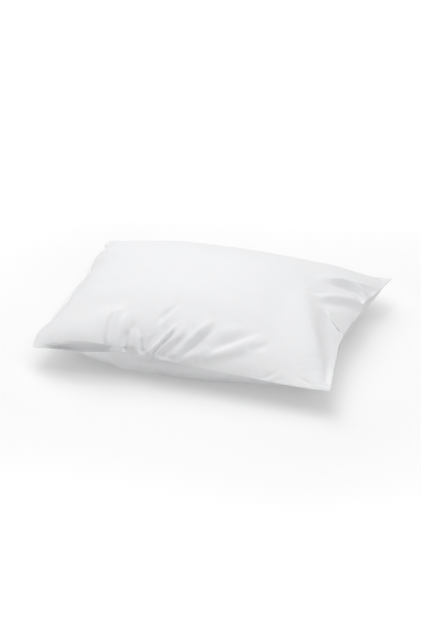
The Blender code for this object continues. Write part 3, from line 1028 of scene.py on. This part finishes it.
    def folded_panel(self, panel: Panel, u: np.ndarray, v: np.ndarray) -> np.ndarray:
        """A panel with its folds, which fade out at the edge and at the surface it lies on.

        Args:
            panel: The panel.
            u: Places along the long side.
            v: Places along the short side.

        Returns:
            The panel's points, in millimetres, none of them below the surface.
        """
        points = self.smooth_panel(panel, u, v)
        out = panel.value * normals(points)
        folds = TOP_FOLDS if panel is Panel.TOP else UNDER_FOLDS
        push = sum(self.fold_push(points, out, panel, fold) for fold in folds)
        relief = self.unevenness(u, v, panel) + self.gathered_seams(u, v, panel)
        move = (push + relief[..., None] * out) * self.kept(points, u, v, panel)[..., None]
        move += self.pucker_move(panel, u, v) * self.clear(points)[..., None]
        moved = points + move
        moved[..., 2] = np.clip(moved[..., 2], 0, None)
        return moved

    def gathered_seams(self, u: np.ndarray, v: np.ndarray, panel: Panel) -> np.ndarray:
        """Short puckers that the sewing draws in along each seam, in millimetres.

        Along a side, each has a random depth, and eases into the next. Inwards they fade with
        exp(-(distance / reach)²).

        Args:
            u: Places along the long side.
            v: Places along the short side.
            panel: The panel, which sets the seed.

        Returns:
            The height at each place.
        """
        random = np.random.default_rng(self.gather_seed + panel.value)
        height = np.zeros_like(u)
        for side in self.sides(u, v):
            step = side.along * side.length_mm / self.gather_mm
            depth = random.uniform(-self.gather_most_mm, 0.0, int(step.max()) + 2)
            i = step.astype(int)
            between = depth[i] + (depth[i + 1] - depth[i]) * ease(step - i)
            height += between * np.exp(-((side.inward_mm / self.gather_reach_mm) ** 2))
        return height

    def unevenness(self, u: np.ndarray, v: np.ndarray, panel: Panel) -> np.ndarray:
        """The filling's soft lumps and the cloth's slight wrinkles, in millimetres.

        Each layer gives the corners of square cells random heights, and eases from corner to corner.

        Args:
            u: Places along the long side.
            v: Places along the short side.
            panel: The panel, which sets the seed.

        Returns:
            The height at each place.
        """
        random = np.random.default_rng(self.uneven_seed + panel.value)
        height = np.zeros_like(u)
        for cell, most in self.uneven_layers:
            across, along = u * self.long_mm / cell, v * self.short_mm / cell
            corner = random.uniform(-most, most, (int(across.max()) + 2, int(along.max()) + 2))
            i, j = across.astype(int), along.astype(int)
            s, t = ease(across - i), ease(along - j)
            near = (1 - s) * corner[i, j] + s * corner[i + 1, j]
            far = (1 - s) * corner[i, j + 1] + s * corner[i + 1, j + 1]
            height += (1 - t) * near + t * far
        return height

    def place(self) -> np.ndarray:
        """Where the middle of the flat cloth lies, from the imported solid's right and back corners."""
        corner = np.array(CAD_HIGH) / MM
        return np.array([corner[0] - self.long_mm / 2, corner[1] - self.short_mm / 2, 0.0])

    def build(self) -> bpy.types.Object:
        """Builds the closed mesh, with its map of the flat cloth.

        The cloth is one length, folded at the right side, so the under panel's map goes on from there.

        Returns:
            The piece, at the origin, with its place in its mesh.
        """
        columns, rows = spaced(self.columns, COLUMN_SPACING), spaced(self.rows, ROW_SPACING)
        u, v = np.meshgrid(columns, rows, indexing="ij")
        panels = {panel: self.folded_panel(panel, u, v) for panel in Panel}
        points = closed_points(panels) + self.place()
        numbers = closed_numbers(u.shape)
        rising = (u[:-1, :-1] < 0.5) == (v[:-1, :-1] < 0.5)
        top, under = (self.split(numbers[panel], rising) for panel in Panel)
        mesh = bpy.data.meshes.new(self.name)
        mesh.from_pydata(points * MM, [], np.concatenate([top, under[:, ::-1]]))
        flat = np.stack([u * self.long_mm, v * self.short_mm], axis=-1).reshape(-1, 2) * MM
        turned = (2 * self.long_mm * MM, 0) + flat * (-1, 1)
        uv = np.concatenate([flat[top.ravel()], turned[top[:, ::-1].ravel()]])
        layer = mesh.uv_layers.new(name=FLAT_CLOTH_MAP, do_init=False)
        layer.uv.foreach_set("vector", uv.astype(np.float32).ravel())
        mesh.shade_smooth()
        mesh.validate()
        piece = bpy.data.objects.new(self.name, mesh)
        bpy.context.scene.collection.objects.link(piece)
        return piece

    @staticmethod
    def split(number: np.ndarray, rising: np.ndarray) -> np.ndarray:
        """Two triangles for each square of a grid, split towards the nearest corner of the case.

        Args:
            number: The grid's point numbers.
            rising: Whether each square is split from its first corner to its third.

        Returns:
            The three point numbers of each triangle.
        """
        a, b, c, d = number[:-1, :-1], number[1:, :-1], number[1:, 1:], number[:-1, 1:]
        rising = rising[..., None]
        first = np.where(rising, np.stack([a, b, c], axis=-1), np.stack([a, b, d], axis=-1))
        second = np.where(rising, np.stack([a, c, d], axis=-1), np.stack([b, c, d], axis=-1))
        return np.concatenate([first.reshape(-1, 3), second.reshape(-1, 3)])

    def dress(self, piece: bpy.types.Object, finish: Percale) -> None:
        """Gives the case its cotton, and lets it stand for its solid.

        Args:
            piece: The case.
            finish: Its cotton.
        """
        piece.data.materials.append(finish.material())
        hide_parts(NODE)
        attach(piece, BODY)


# ---- The studio ----


def direction(azimuth: float, elevation: float) -> Vector:
    """Points from the middle to a place round it: azimuth 0 is in front, 90 on the right, in degrees."""
    a, e = math.radians(azimuth), math.radians(elevation)
    return Vector((math.sin(a) * math.cos(e), -math.cos(a) * math.cos(e), math.sin(e)))


@dataclass(frozen=True)
class Softbox:
    """A square soft light that faces the case."""

    name: str
    azimuth: float
    elevation: float
    watts: float
    distance_m: float = 3.0
    width_m: float = 2.5

    def build(self) -> None:
        """Adds the light."""
        lamp = bpy.data.lights.new(self.name, "AREA")
        lamp.size = self.width_m
        lamp.energy = self.watts
        light = bpy.data.objects.new(self.name, lamp)
        back = direction(self.azimuth, self.elevation)
        light.location = back * self.distance_m
        light.rotation_euler = (-back).to_track_quat("-Z", "Y").to_euler()
        bpy.context.scene.collection.objects.link(light)


SOFTBOXES = (
    Softbox("window_low", -135.0, 25.0, 13.5),
    Softbox("window_high", -135.0, 55.0, 40.0),
    Softbox("overhead", 0.0, 85.0, 48.5),
    Softbox("fill", 45.0, 38.0, 19.0),
    Softbox("side_fill", 90.0, 42.0, 9.5),
)


@dataclass(frozen=True)
class Camera:
    """A long lens that looks down on the case from the front right.

    The picture is 421 x 631 pixels, its scale 521 pixels to a metre at the case, and the middle of the
    seam's plane lies at (216, 312.2) in it.
    """

    azimuth: float = 16.95
    elevation: float = 28.4
    distance_m: float = 6.0
    picture_px: tuple[float, float] = (421.0, 631.0)
    middle_px: tuple[float, float] = (216.0, 312.2)
    px_per_m: float = 521.0
    sensor_mm: float = 36.0

    def build(self, middle: Vector) -> None:
        """Adds the camera.

        Args:
            middle: The point of the case that lies at middle_px.
        """
        back = direction(self.azimuth, self.elevation)
        right = direction(self.azimuth + 90.0, 0.0)
        up = back.cross(right)
        aside = (self.middle_px[0] - self.picture_px[0] / 2) / self.px_per_m
        below = (self.middle_px[1] - self.picture_px[1] / 2) / self.px_per_m
        target = middle - right * aside + up * below
        lens = bpy.data.cameras.new("camera")
        # The sensor spans the picture's longer side, its height.
        lens.sensor_width = self.sensor_mm
        lens.lens = self.sensor_mm * self.px_per_m * self.distance_m / self.picture_px[1]
        camera = bpy.data.objects.new("camera", lens)
        camera.location = target + back * self.distance_m
        camera.rotation_euler = (-back).to_track_quat("-Z", "Y").to_euler()
        bpy.context.scene.collection.objects.link(camera)
        bpy.context.scene.camera = camera


@dataclass(frozen=True)
class Studio:
    """A white floor under a faint white dome, with the softboxes."""

    floor_m: float = 24.0
    floor_gap_mm: float = 0.2
    dome: float = 0.02
    softboxes: tuple[Softbox, ...] = SOFTBOXES

    def build(self) -> None:
        """Adds the floor, the dome and the softboxes, and shows colours without a tone curve."""
        self._floor()
        self._dome()
        for softbox in self.softboxes:
            softbox.build()
        bpy.context.scene.view_settings.view_transform = "Standard"

    def _floor(self) -> None:
        """Adds the floor, a hair below the case."""
        half = self.floor_m / 2
        mesh = bpy.data.meshes.new("floor")
        corners = [(-half, -half), (half, -half), (half, half), (-half, half)]
        mesh.from_pydata([(x, y, -self.floor_gap_mm * MM) for x, y in corners], [], [(0, 1, 2, 3)])
        mesh.materials.append(StudioPaper().material())
        floor = bpy.data.objects.new("floor", mesh)
        bpy.context.scene.collection.objects.link(floor)

    def _dome(self) -> None:
        """Adds the dome's even light."""
        world = bpy.data.worlds.new("dome")
        world.use_nodes = True
        light = world.node_tree.nodes["Background"]
        light.inputs["Color"].default_value = linear(WHITE)
        light.inputs["Strength"].default_value = self.dome
        bpy.context.scene.world = world


def main() -> None:
    """Builds the case, dresses it, and sets up its studio and camera."""
    logging.basicConfig(level=logging.INFO, format="%(message)s")
    case = FilledCase()
    case.settle(Settling())
    log.info("cotton settled, %d x %d points a panel", *case.puckers[Panel.TOP].shape[:2])
    piece = case.build()
    case.dress(piece, Percale())
    log.info("%s: %d faces", piece.name, len(piece.data.polygons))
    studio = Studio()
    studio.build()
    log.info("studio: floor, dome and %d softboxes", len(studio.softboxes))
    middle = Vector(case.place() * MM)
    middle.z = case.corner_height_mm * MM
    Camera().build(middle)
    log.info("camera: in place")


if __name__ == "__main__":
    main()
